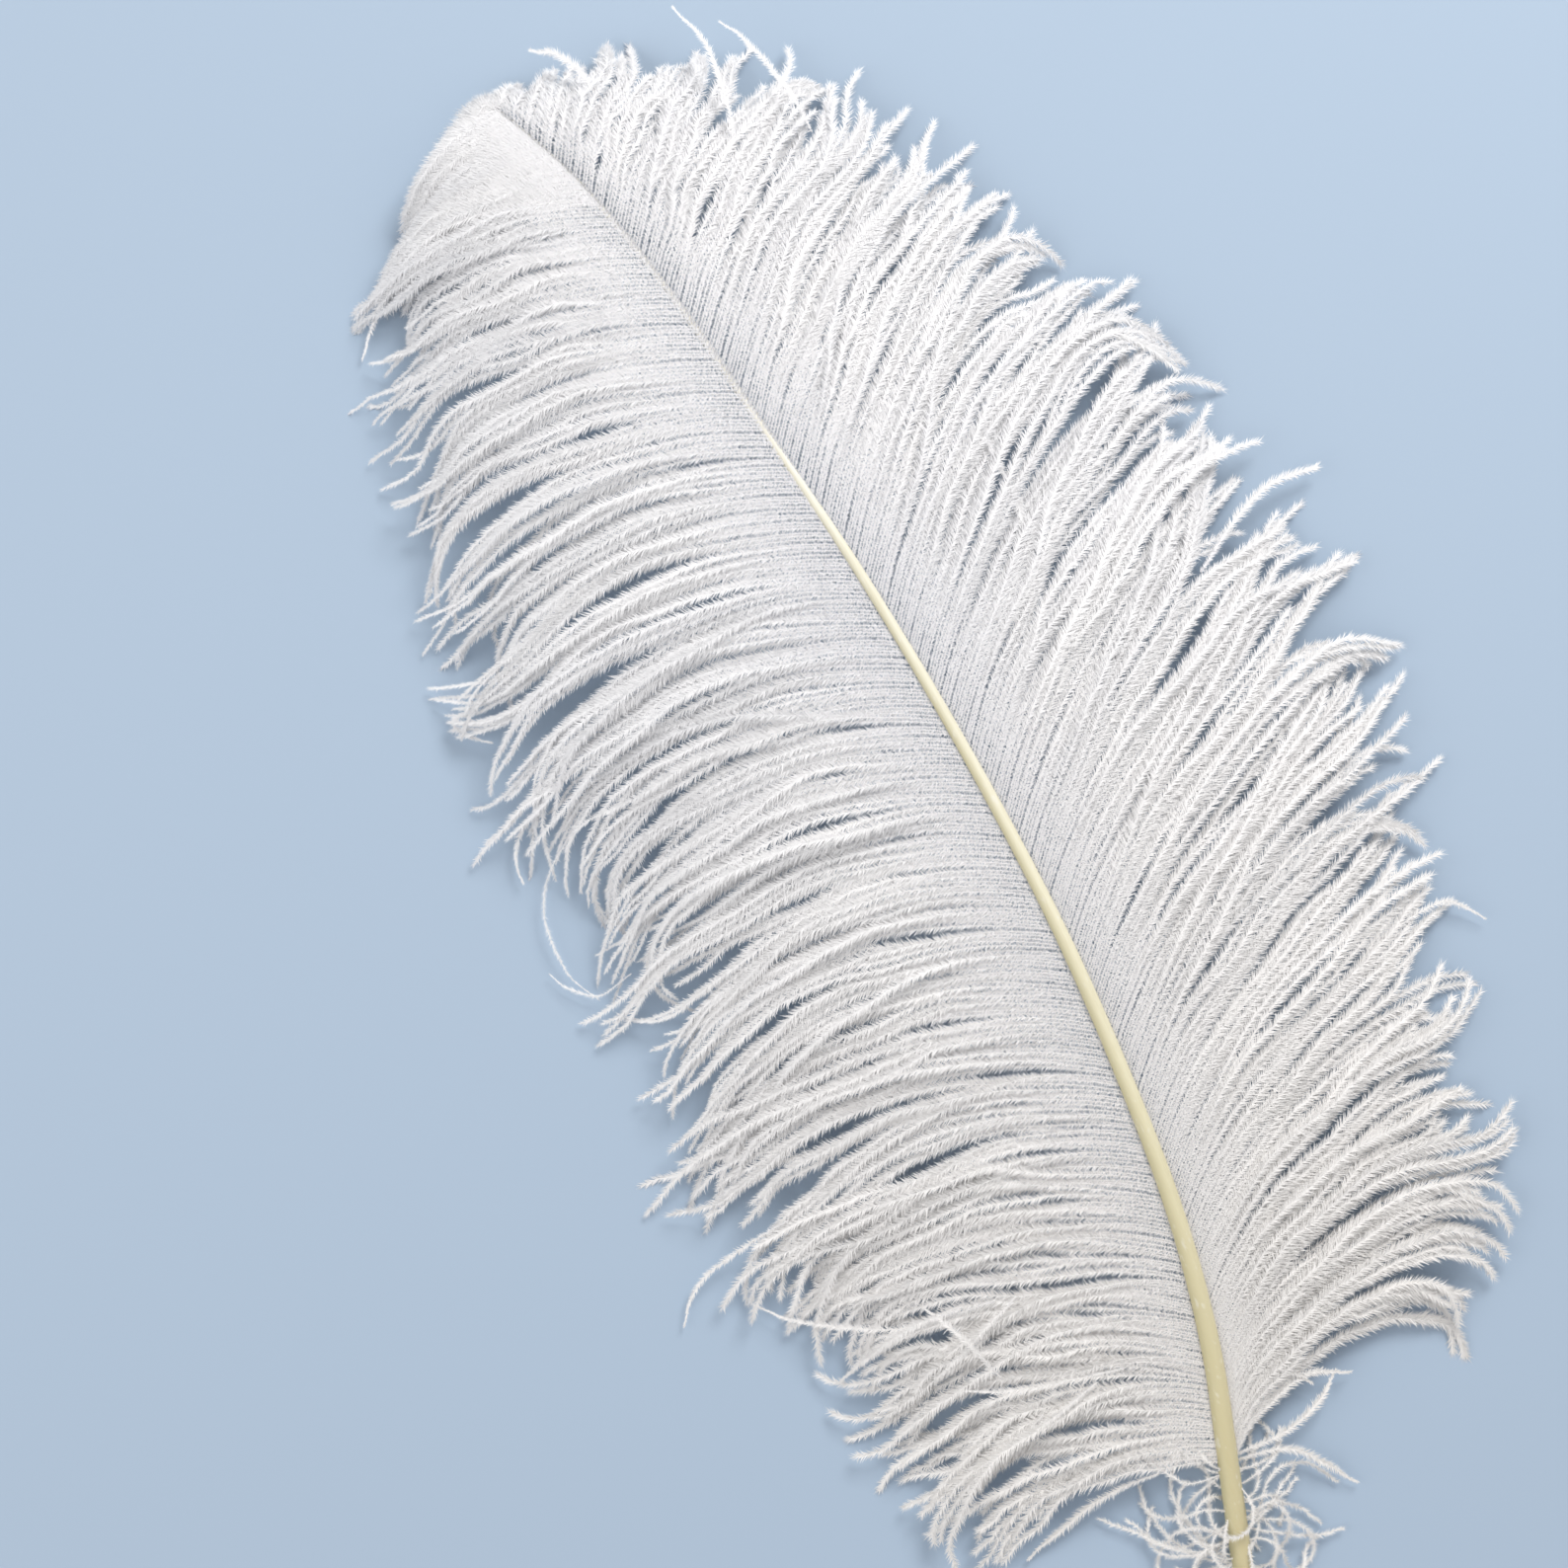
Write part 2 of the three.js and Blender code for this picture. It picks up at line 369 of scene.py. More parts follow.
def lockForms(vane, distance):  # for each barb, its place in its lock and how that lock differs
    total = plume["shaftLength"] - vane["start"]
    where = (distance - vane["start"]) / total * plume["lockCount"]
    lock = np.minimum(where.astype(int), plume["lockCount"] - 1)
    everyLock = np.arange(plume["lockCount"])
    everyTurn = lockVary(everyLock, vane["side"] + 5)
    softTurn = np.interp(where, everyLock + 0.5, everyTurn)
    parting = vane["lockParting"] * (everyTurn[lock] - softTurn)
    return {
        "across": 2 * (where - lock) - 1,  # from its lower edge, -1, to its upper one
        "middle": vane["start"] + (lock + 0.5) * total / plume["lockCount"],
        "stretch": 1 + plume["lengthVariety"] * lockVary(lock, vane["side"]),
        "turn": plume["turnVariety"] * (softTurn + parting) * vane["lockTurn"],
    }


def fingerNumbers(count, sizes):  # the number of each barb's finger
    finger = np.zeros(count, int)
    at, number = 0, 0
    while at < count:
        size = rng.integers(*sizes)
        finger[at:at + size] = number
        at, number = at + size, number + 1
    return finger


def freedomAlong(vane, distance):  # how untidily barbs lie, usually 1, and how freely tips bend
    low, high, extra = vane["untidyBase"]
    freedom = 1 + extra * (1 - smoothStep(distance, low, high))
    low, high, calm = vane["calmHead"]
    freedom = freedom * (1 - calm * smoothStep(distance, low, high))
    low, high, straight = vane["straightBase"]
    bending = np.minimum(freedom, 1) * (1 - straight * (1 - smoothStep(distance, low, high)))
    return freedom, bending


def crossingBarbs(vane, finger, freedom):  # how far barbs turn across the others, and how high
    crosses = groupDraw(rng.uniform, finger, 0, 1) < vane["crossShare"] * freedom
    crosses = crosses & (rng.uniform(0, 1, len(finger)) < barbLook["crossBarbs"])
    turn = groupDraw(rng.normal, finger, 0, vane["crossTurn"]) * crosses
    lift = groupDraw(rng.uniform, finger, *barbLook["crossLift"]) * crosses
    return turn, lift


def fingerForms(vane, finger, distance, freedom, bending):
    # for each barb, what its finger has: turn, length, the tip's hook, curl and height, the middle
    turn = groupDraw(rng.normal, finger, 0, vane["fingerTurn"])
    stretch = 1 + groupDraw(rng.uniform, finger, -1, 1) * barbLook["fingerLength"]
    hook = groupDraw(rng.normal, finger, 0, vane["hookSpread"]) * bending
    clusters = np.arange(vane["start"], plume["shaftLength"] + 1, barbLook["clusterLength"])
    drift = np.interp(distance, clusters, rng.normal(0, vane["hookDrift"], len(clusters)))
    hook += alongRows(hookRows, distance)[:, vane["hookColumn"]] + drift * bending
    return {
        "turn": turn,
        "stretch": stretch,
        "hook": hook,
        "curl": vane["tipCurl"] * lockVary(finger, vane["side"] + 9) * np.minimum(freedom, 1),
        "tipHeight": groupDraw(rng.uniform, finger, *barbLook["tipHeight"]),
        "middle": np.array([distance[finger == i].mean() for i in range(finger.max() + 1)])[finger],
    }


def looseBarbs(vane, count, freedom):  # which barbs lie loose, and how far each one turns
    loose = rng.uniform(0, 1, count) < vane["looseShare"] * np.minimum(freedom, 1)
    turn = rng.normal(*vane["looseTurn"], count) * loose
    turn += rng.normal(0, barbLook["barbTurn"], count)
    return loose, turn


def vanePaths(vane, places, turn, form):  # the barbs' lines, were they to grow at these places
    middle, radius, heading = shaftAt(places)
    middle[:, 2] += radius * smoothStep(places, *barbLook["onTop"])
    shape = alongRows(vane["rows"], places)
    shape[:, 0] *= form["stretch"]
    return barbPaths(
        middle, heading, vane["side"], shape, turn, form["hook"], form["curl"], form["tipHeight"],
    )


def clung(vane, own, together, gathered, finger, loose):
    # barbs draw together in their fingers towards the tips, and a little in their locks
    low, high, hold = vane["cling"]
    hold = hold * groupDraw(rng.uniform, finger, *barbLook["clingVariety"])
    hold = hold * (1 - barbLook["looseHold"] * loose)
    parting = rng.uniform(0, vane["fork"], len(finger))
    fork = 1 - parting[:, None] * smoothStep(pointShares, barbLook["forkAt"], 1)
    cling = (smoothStep(pointShares, low, high) * hold[:, None] * fork)[..., None]
    lockCling = smoothStep(pointShares, *barbLook["lockClingAt"])[:, None] * vane["lockCling"]
    path = own * (1 - cling) + together * cling
    return path * (1 - lockCling) + gathered * lockCling


def lifted(path, across, crossLift, loose):
    # a lock is highest along its middle, and loose and crossing barbs lie on top
    count = len(path)
    crown = 1 - across**2
    lift = rng.normal(0, barbLook["liftSpread"], count) + barbLook["lockCrown"] * (crown - 0.5)
    lift += crossLift
    lift += loose * rng.uniform(*barbLook["looseLift"], count)
    rise = smoothStep(pointShares, *barbLook["liftAt"])
    start, lost = barbLook["tipSettle"]
    settle = 1 - lost * smoothStep(pointShares, start, 1)
    path[..., 2] += lift[:, None] * rise * settle
    return path


def vanePlan(vane):
    # how each barb runs, its roll, its barbules' length at the tip and its finger's tint
    distance = rootPlaces(vane["start"])
    count = len(distance)
    lock = lockForms(vane, distance)
    finger = fingerNumbers(count, vane["fingerBarbs"])
    freedom, bending = freedomAlong(vane, distance)
    crossTurn, crossLift = crossingBarbs(vane, finger, freedom)
    form = fingerForms(vane, finger, distance, freedom, bending)
    loose, looseTurn = looseBarbs(vane, count, freedom)
    form["stretch"] = np.minimum(lock["stretch"] * form["stretch"], barbLook["longest"])
    turn = (form["turn"] + crossTurn) * freedom
    ownTurn = lock["turn"] + turn * barbLook["ownTurn"] + looseTurn * freedom
    own = vanePaths(vane, distance, ownTurn, form)
    together = vanePaths(vane, form["middle"], lock["turn"] + turn, form)
    gathered = vanePaths(vane, lock["middle"], lock["turn"] + turn * barbLook["lockedTurn"], form)
    path = clung(vane, own, together, gathered, finger, loose)
    path = cutTo(path, pointShares * rng.uniform(*barbLook["cutLength"], count)[:, None])
    path = lifted(path, lock["across"], crossLift, loose)
    most, mostAlone = barbLook["mostWave"]
    path = waved(path, np.minimum(freedom, most), waveLook["finger"], finger)
    path = waved(path, np.minimum(freedom, mostAlone))
    fadeIn, fadeOut = barbLook["thinBetween"]
    thin = vane["thinTips"] * smoothStep(distance, *fadeIn) * (1 - smoothStep(distance, *fadeOut))
    thin -= vane["fullTips"]
    tipLength = 1 - thin * groupDraw(rng.uniform, finger, *barbLook["thinVariety"])
    roll = -vane["side"] * lock["across"] * barbLook["lockRoll"]
    roll += rng.normal(0, barbLook["rollSpread"], count)
    return path, roll, tipLength, groupDraw(rng.uniform, finger, 0, 1)


# a barb's stem, and the fringe of barbules on both sides of it
barbuleLook = {
    "stemRadius": (0.24, 0.1),  # at the root and at the tip
    "pitch": 0.312,
    "fewest": 8,
    "crowding": 0.8,  # how many more barbules there are at the tip than at the root
    "width": (0.52, 0.72),  # at the root and at the tip
    "at": (0, 0.06, 0.2, 0.45, 0.8, 1),  # shares along the barb for the next two
    "length": (1.4, 1.7, 3.0, 4.4, 4.1, 3.2),
    "lean": (60, 54, 46, 41, 37, 30),  # off the barb
    "lengthVariety": (0.7, 1.2),
    "leanSpread": 11,
    "endLean": (0.985, 0.7),  # from where on they close up at the very end, and how far
    "lift": (0, 17),  # out of the vane, and how unevenly
    "rollAt": (0.05, 0.4),
    "tipAt": (0.65, 0.95),  # where the tip's own length fades in
    "rootAt": (0.08, 0.35),  # and the root's fades out
    "lowest": 0.05,  # above the surface
}


def barbAxes(path, roll):  # along the barb, across it in the vane and up from it, at each point
    along = np.gradient(path, axis=0)
    along /= np.linalg.norm(along, axis=1, keepdims=True) + tiny
    across = np.stack([-along[:, 1], along[:, 0], np.zeros(len(path))], 1)
    across /= np.linalg.norm(across, axis=1, keepdims=True) + tiny
    up = np.cross(along, across)
    turned = (math.radians(roll) * smoothStep(pointShares, *barbuleLook["rollAt"]))[:, None]
    cosine, sine = np.cos(turned), np.sin(turned)
    return along, across * cosine + up * sine, up * cosine - across * sine


def barbStem(path, across, up):  # a thin three-sided rod, closed at both ends
    steps = len(path) - 1
    radius = np.interp(pointShares, [0, 1], barbuleLook["stemRadius"])[:, None]
    corners = [  # of an even triangle at each point
        path + up * radius,
        path - up * radius * 0.5 - across * radius * 0.87,
        path - up * radius * 0.5 + across * radius * 0.87,
    ]
    here = np.arange(steps)[:, None] * 3 + np.arange(3)[None, :]
    beside = np.arange(steps)[:, None] * 3 + (np.arange(3)[None, :] + 1) % 3
    faces = [
        np.stack([here, beside, beside + 3], -1).reshape(-1, 3),
        np.stack([here, beside + 3, here + 3], -1).reshape(-1, 3),
        np.array([[0, 2, 1], [steps * 3, steps * 3 + 1, steps * 3 + 2]]),
    ]
    return np.stack(corners, 1).reshape(-1, 3), np.concatenate(faces)


def crowdedShares(count):  # along a barb, closer together towards its tip
    crowding = barbuleLook["crowding"]
    return (np.sqrt(1 + (2 * crowding + crowding**2) * evenShares(count)) - 1) / crowding


def barbuleForms(share, length, tipLength, rootLength):
    # how long each barbule is, how far it leans off the barb and how far it lifts out of the vane
    count, at = len(share), barbuleLook["at"]
    long = np.interp(share, at, barbuleLook["length"])
    long = long * rng.uniform(*barbuleLook["lengthVariety"], count) * length
    long *= 1 - (1 - tipLength) * smoothStep(share, *barbuleLook["tipAt"])
    long *= 1 - (1 - rootLength) * (1 - smoothStep(share, *barbuleLook["rootAt"]))
    lean = np.interp(share, at, barbuleLook["lean"])
    start, closed = barbuleLook["endLean"]
    lean = lean * (1 - closed * smoothStep(share, start, 1))
    lean = lean + rng.normal(0, barbuleLook["leanSpread"], count)
    lift = rng.normal(*barbuleLook["lift"], count)
    return long[:, None], np.radians(lean)[:, None], np.radians(lift)[:, None]


def barbules(path, axes, place, hand, width, form):
    # a thin triangle for each barbule on one hand of the barb, at its place between the points
    steps = len(path) - 1
    low = np.minimum(place.astype(int), steps - 1)
    part = (place - low)[:, None]
    root, forward, outward, upward = (
        values[low] * (1 - part) + values[low + 1] * part for values in (path, *axes)
    )
    long, lean, lift = form
    away = hand * outward * np.cos(lift) + upward * np.sin(lift)
    tip = root + (forward * np.cos(lean) + away * np.sin(lean)) * long
    wide = np.interp(place / steps, [0, 1], barbuleLook["width"])[:, None]
    half = forward * wide * width / 2
    return np.stack([root - half * hand, tip, root + half * hand], 1).reshape(-1, 3)


def barbMesh(path, tint, roll=0.0, length=1.0, pitch=1.0, width=1.0, tipLength=1.0, rootLength=1.0):
    # one barb as points, faces, shares along it and its tint; 1 is the usual for its barbules
    strides = np.linalg.norm(np.diff(path, axis=0), axis=1)
    passed = np.r_[0, np.cumsum(strides)]
    total = strides.sum()
    axes = barbAxes(path, roll)
    stem, faces = barbStem(path, *axes[1:])
    points, shares = [stem], [np.repeat(pointShares, 3)]
    count = max(int(total / (barbuleLook["pitch"] * pitch)), barbuleLook["fewest"])
    for hand in (-1, 1):
        place = np.interp(crowdedShares(count) * total, passed, np.arange(len(path)))
        share = place / (len(path) - 1)
        form = barbuleForms(share, length, tipLength, rootLength)
        points.append(barbules(path, axes, place, hand, width, form))
        shares.append(np.repeat(share, 3))
    points = np.concatenate(points)
    points[:, 2] = np.maximum(points[:, 2], barbuleLook["lowest"])
    fringe = np.arange(len(stem), len(points)).reshape(-1, 3)
    return points, np.concatenate([faces, fringe]), np.concatenate(shares), np.full(len(points), tint)


def barbsAlong(paths, look):
    return [barbMesh(path, rng.uniform(*look["tint"]), **look["barbules"]) for path in paths]


def mark(mesh, marks):  # a value at each point, for the materials
    for label, values in marks.items():
        layer = mesh.attributes.new(label, "FLOAT", "POINT")
        layer.data.foreach_set("value", values.astype(np.float32))


def joinedPiece(name, barbs):
    # one mesh from many barbs, each given as (points, faces, shares along, tint)
    offsets = np.cumsum([0] + [len(barb[0]) for barb in barbs[:-1]])
    points = np.concatenate([barb[0] for barb in barbs]) * mm
    faces = np.concatenate([barb[1] + offset for barb, offset in zip(barbs, offsets)])
    faces = faces.astype(np.int32)
    mesh = bpy.data.meshes.new(name)
    mesh.vertices.add(len(points))
    mesh.vertices.foreach_set("co", points.astype(np.float32).ravel())
    mesh.loops.add(faces.size)
    mesh.loops.foreach_set("vertex_index", faces.ravel())
    mesh.polygons.add(len(faces))
    mesh.polygons.foreach_set("loop_start", np.arange(0, faces.size, 3, dtype=np.int32))
    mesh.polygons.foreach_set("use_smooth", np.ones(len(faces), bool))
    mesh.update(calc_edges=True)
    shares, tints = (np.concatenate([barb[column] for barb in barbs]) for column in (2, 3))
    mark(mesh, {"barbShare": shares, "barbTint": tints})
    piece = bpy.data.objects.new(name, mesh)
    bpy.context.collection.objects.link(piece)
    mesh.materials.append(barbWhite)
    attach(piece, "root")
    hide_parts("feather")
    print(name, len(barbs), "barbs,", len(faces), "triangles")


def vanePieces(vane):  # a vane's barbs in three pieces, from the base to the head
    path, roll, tipLength, fingerTint = vanePlan(vane)
    shared = barbLook["fingerTint"]
    for part, members in zip(("Low", "Middle", "High"), np.array_split(np.arange(len(path)), 3)):
        barbs = []
        for i in members:
            tint = shared * fingerTint[i] + (1 - shared) * rng.uniform()
            own = {"tipLength": tipLength[i], "rootLength": vane["rootLength"]}
            barbs.append(barbMesh(path[i], tint, roll[i], **own))
        joinedPiece(vane["name"] + part, barbs)


# the barbs over the sides of the drooping head, and the fan that closes the end of the shaft
headSides = {
    "count": 76,
    "from": 590.0,
    "crowding": 0.62,  # closer together towards the end
    "rootHeight": 1.0,  # of the shaft's radius, above its middle
    "lift": 1.0,  # above the vane
    "stretch": (0.9, 1.02),
    "turn": (0, 1.2),
    "hook": (5, 5),
    "tipHeight": (0.5, 4),
}
headFan = {
    "count": 34,
    "rootHeight": 0.6,
    "stretch": (0.85, 1.05),
    "turn": (0, 3),
    "hook": (0, 6),
    "tipHeight": (0.8, 1.1),  # share of the rows'
}
headLook = {
    "wave": 0.2,
    "tint": (0.6, 1),  # 1 is the whitest
    "barbules": {"length": 1.1},  # against the vanes'
}

# as the vanes' rows
headRows = np.array([
    [590, 98, 52, 72, 100],
    [610, 88, 54, 76, 104],
    [630, 74, 64, 90, 114],
    [646, 60, 76, 101, 124],
])

# from the fan's inner to its outer side: share of it, the barbs' length, their angle at the root,
# halfway and at the tip, and the tips' height
fanRows = np.array([
    [0.0, 56, 76, 102, 126, 2.5],
    [0.2, 38, 62, 96, 128, 4],
    [0.4, 20, 38, 76, 118, 8],
    [0.6, 12, 0, 24, 58, 9],
    [0.8, 9, -30, -24, -10, 9],
    [1.0, 12, -50, -58, -66, 9],
])


def headDraw(draw, label):  # random values for the sides' barbs, then for the fan's
    return np.r_[tuple(draw(*part[label], part["count"]) for part in (headSides, headFan))]


def headPaths():  # barbs, close together, that lie smoothly over the plume's drooping tip
    count, fan = headSides["count"], headFan["count"]
    covered = plume["shaftLength"] - headSides["from"]
    distance = headSides["from"] + covered * evenShares(count) ** headSides["crowding"]
    shape = alongRows(headRows, distance)
    shape[:, 0] *= rng.uniform(*headSides["stretch"], count)
    fanShape = alongRows(fanRows, evenShares(fan))
    fanShape[:, 0] *= rng.uniform(*headFan["stretch"], fan)
    middle, radius, heading = shaftAt(np.r_[distance, np.full(fan, plume["shaftLength"])])
    middle[:, 2] += radius * np.repeat([headSides["rootHeight"], headFan["rootHeight"]], [count, fan])
    turn = headDraw(rng.normal, "turn")
    hook = headDraw(rng.normal, "hook")
    tipHeight = headDraw(rng.uniform, "tipHeight")
    tipHeight[count:] *= fanShape[:, 4]
    shapes = np.r_[shape, fanShape[:, :4]]
    straight = np.zeros(count + fan)
    path = barbPaths(middle, heading, innerVane["side"], shapes, turn, hook, straight, tipHeight)
    path[:count, 1:, 2] += headSides["lift"]
    return waved(path, headLook["wave"])


downLook = {
    "count": 38,
    "from": (9, 50),  # where it grows on the quill
    "length": (24, 62),
    "away": (35, 140),  # how far its threads lean off the quill
    "curl": 0.08,  # how sharply they turn
    "bends": 4,  # how often on their way
    "rise": (1, 9),  # how high they loop
    "loops": 1.4,  # how much faster they loop than they run out
    "tipHeight": (0.5, 3),
    "below": 3,  # how far they pass the quill's end
    "wave": 0.4,
    "tint": (0.5, 1),
    "barbules": {"length": 0.55, "width": 0.78},
}


def downPaths():  # thin downy threads that loop around the quill
    count = downLook["count"]
    distance = rng.uniform(*downLook["from"], count)
    middle, radius, heading = shaftAt(distance)
    side = np.where(rng.uniform(0, 1, count) < 0.5, -1, 1)
    length = rng.uniform(*downLook["length"], count)
    course = heading - side * np.radians(rng.uniform(*downLook["away"], count))
    bend = rng.normal(0, downLook["curl"], (count, downLook["bends"]))
    bendAt = np.linspace(0, 1, downLook["bends"])
    turning = np.array([np.interp(pointShares, bendAt, row) for row in bend])
    stride = (length / barbLook["steps"])[:, None]
    course = course[:, None] + np.cumsum(turning * stride, axis=1)
    path = np.zeros((count, len(pointShares), 3))
    path[..., 0] = middle[:, 0, None] + np.cumsum(np.cos(course) * stride, axis=1)
    path[..., 1] = middle[:, 1, None] + np.cumsum(np.sin(course) * stride, axis=1)
    path[:, 0] = middle
    loop = np.sin(math.pi * np.clip(pointShares * downLook["loops"], 0, 1))
    height = rng.uniform(*downLook["rise"], count)[:, None] * loop
    tipHeight = rng.uniform(*downLook["tipHeight"], count)[:, None] * pointShares
    path[..., 2] = middle[:, 2, None] * (1 - pointShares) + height + tipHeight
    path[..., 1] = np.maximum(path[..., 1], -plume["boxCentre"][1] - downLook["below"])
    return waved(path, downLook["wave"])


strayLook = {
    "wave": 0.3,
    "tint": (0.7, 1),
    # the barbules of each kind, against the vanes'
    "soft": {"length": 0.8, "pitch": 0.7, "tipLength": 0.5},
    "full": {"length": 0.9, "pitch": 0.7},
    "wisp": {"length": 0.62, "tipLength": 0.5},
    "thread": {"length": 0.42, "pitch": 1.5, "width": 0.7, "tipLength": 0.5},
}

# single barbs that have come loose, each with its kind and the points it passes, in millimetres
# from the quill's end
strayPaths = {
    "sCurve": ("soft", [
        (112, 464, 39), (109, 444, 39), (109, 422, 38), (104, 400, 37), (96, 384, 37), (87, 372, 38),
    ]),
    "crossThread": ("wisp", [(-27, 150, 26), (-46, 143, 27), (-67, 135, 22)]),
    "crossThreadBack": ("wisp", [(-46, 124, 25), (-52, 144, 28), (-60, 161, 23)]),
    "longLow": ("wisp", [
        (-34, 152, 26), (-66, 156, 20), (-90, 166, 14), (-109, 178, 8), (-119, 190, 6),
    ]),
    "leftHook": ("wisp", [
        (-85, 408, 16), (-106, 400, 10), (-120, 392, 6), (-125, 384, 5), (-127, 376, 4),
    ]),
    "leftArc": ("thread", [
        (-88, 392, 14), (-111, 378, 10), (-122, 366, 6), (-127, 348, 5), (-126, 334, 4), (-120, 322, 3),
    ]),
    "leftArcEnd": ("thread", [(-104, 326, 10), (-120, 324, 6), (-129, 332, 4), (-133, 340, 3)]),
    "leftLoop": ("wisp", [
        (-94, 448, 14), (-108, 446, 10), (-122, 444, 7), (-119, 436, 6), (-112, 430, 8),
    ]),
    "rightFinger": ("full", [
        (161, 366, 22), (183, 378, 14), (199, 384, 12), (210, 384, 10), (221.5, 382.5, 8),
    ]),
    "rightFingerLow": ("full", [(166, 338, 20), (192, 346, 14), (206, 344, 10), (218.5, 342.5, 8)]),
    "rightWisp": ("wisp", [(162, 208, 12), (180, 210, 8), (193, 208, 6), (202, 196, 4)]),
    "lowWisp": ("wisp", [
        (-92, 214, 16), (-112, 212, 10), (-130, 208, 6), (-142, 201, 4), (-148, 194, 3),
    ]),
    "highWisp": ("wisp", [
        (70, 582, 33), (76, 597, 32), (80, 613, 30), (82, 630, 27), (80, 641, 24), (77, 651, 22),
    ]),
    "highWispRight": ("wisp", [
        (103, 583, 28), (103, 596, 28), (100, 613, 26), (95, 629, 24), (91, 638, 22),
    ]),
    "topCurl": ("soft", [(37, 630, 26), (34, 644, 24), (29, 656, 20), (21, 662, 16)]),
    "brightOver": ("soft", [
        (8, 546, 38), (10, 574, 34), (-3, 592, 28), (-24, 604, 20), (-50, 602, 12), (-67, 600, 8),
    ]),
    "farLeft": ("wisp", [(-34, 608, 16), (-56, 608, 10), (-76, 600, 6), (-91, 586, 3)]),
    "farRight": ("full", [(147, 458, 24), (170, 464, 18), (182, 454, 14), (190, 440, 10)]),
    "baseThread": ("soft", [(23, 58, 8), (41, 66, 10), (61, 70, 9), (76, 62, 5)]),
    "baseThreadLow": ("soft", [(21, 54, 7), (42, 54, 9), (60, 58, 8), (71, 66, 6)]),
    "baseThreadLast": ("soft", [(20, 52, 6), (39, 48, 8), (51, 36, 6), (59, 22, 3)]),
    "baseThreadTop": ("soft", [(27, 66, 8), (42, 76, 12), (53, 76, 12), (61, 66, 8)]),
    "lowStrand": ("full", [
        (-14, 106, 22), (-28, 103, 24), (-44, 100, 23), (-63, 97, 19), (-88, 94, 11), (-103, 93, 5),
    ]),
    "lowFinger": ("full", [(-38, 104, 21), (-57, 96, 18), (-74, 89, 12), (-87, 79, 5)]),
    "lowEdge": ("soft", [(-8, 62, 12), (-28, 63, 10), (-49, 59, 6), (-69, 53, 3)]),
    "lowOver": ("soft", [(-48, 155, 25), (-66, 157, 24), (-85, 154, 18), (-104, 148, 8)]),
    "lowSweep": ("wisp", [(-2, 106, 22), (-20, 111, 25), (-42, 117, 24), (-62, 126, 20)]),
}


def strayBarbs():  # a smooth, slightly waved line through each stray's points, with barbules
    barbs = []
    for kind, points in strayPaths.values():
        points = np.array(points, float) - (*plume["boxCentre"], 0)
        at = np.r_[0, np.cumsum(np.linalg.norm(np.diff(points, axis=0), axis=1))]
        line = alongRows(np.c_[at, points], np.linspace(0, at[-1], len(pointShares)))
        line = waved(line[None], strayLook["wave"])[0]
        barbs.append(barbMesh(line, rng.uniform(*strayLook["tint"]), **strayLook[kind]))
    return barbs


def startedMaterial(name):  # a new material and its shader
    material = bpy.data.materials.new(name)
    material.use_nodes = True
    return material, material.node_tree.nodes["Principled BSDF"]


def setInputs(node, names, values):
    for name, value in zip(names, values):
        node.inputs[name].default_value = value


def placed(tree, stretch):  # object coordinates, stretched
    place = tree.nodes.new("ShaderNodeTexCoord")
    mapping = tree.nodes.new("ShaderNodeMapping")
    mapping.inputs["Scale"].default_value = stretch
    tree.links.new(place.outputs["Object"], mapping.inputs["Vector"])
    return mapping.outputs["Vector"]


def give(tree, socket, value):  # a link from another node, or a plain value
    if hasattr(value, "is_output"):
        tree.links.new(value, socket)
    else:
        socket.default_value = value


def worked(tree, operation, *values):  # the result of a Math node
    node = tree.nodes.new("ShaderNodeMath")
    node.operation = operation
    for socket, value in zip(node.inputs, values):
        give(tree, socket, value)
    return node.outputs[0]


def mixed(tree, factor, first, second):
    node = tree.nodes.new("ShaderNodeMix")
    node.data_type = "RGBA"
    for number, value in ((0, factor), (6, first), (7, second)):  # its sockets for colours
        give(tree, node.inputs[number], value)
    return node.outputs[2]


def ranged(tree, value, between, to):  # from the one pair of limits to the other
    node = tree.nodes.new("ShaderNodeMapRange")
    setInputs(node, ("From Min", "From Max", "To Min", "To Max"), (*between, *to))
    tree.links.new(value, node.inputs["Value"])
    return node.outputs["Result"]


def attribute(tree, name):
    node = tree.nodes.new("ShaderNodeAttribute")
    node.attribute_name = name
    return node.outputs["Fac"]


streakLook = {
    "detail": 3.0,  # of both noises
    "range": (0.36, 0.64),  # the mask spreads these out to 0 and 1
}


def streakGroup():  # fine streaks that both materials use: a mask, and a height for bump
    group = bpy.data.node_groups.new("fineStreaks", "ShaderNodeTree")
    for name, kind, way in (
        ("Place", "NodeSocketVector", "INPUT"),
        ("Scale", "NodeSocketFloat", "INPUT"),
        ("Detail", "NodeSocketFloat", "INPUT"),
        ("Mask", "NodeSocketFloat", "OUTPUT"),
        ("Height", "NodeSocketFloat", "OUTPUT"),
    ):
        group.interface.new_socket(name=name, in_out=way, socket_type=kind)
    nodes, links = group.nodes, group.links
    enter, leave = nodes.new("NodeGroupInput"), nodes.new("NodeGroupOutput")
    coarse, fine = nodes.new("ShaderNodeTexNoise"), nodes.new("ShaderNodeTexNoise")
    for noise, scale in ((coarse, "Scale"), (fine, "Detail")):
        noise.inputs["Detail"].default_value = streakLook["detail"]
        links.new(enter.outputs["Place"], noise.inputs["Vector"])
        links.new(enter.outputs[scale], noise.inputs["Scale"])
    half = worked(group, "MULTIPLY", coarse.outputs["Fac"], 0.5)
    both = worked(group, "MULTIPLY_ADD", fine.outputs["Fac"], 0.5, half)
    links.new(ranged(group, both, streakLook["range"], (0, 1)), leave.inputs["Mask"])
    links.new(fine.outputs["Fac"], leave.inputs["Height"])
    return group


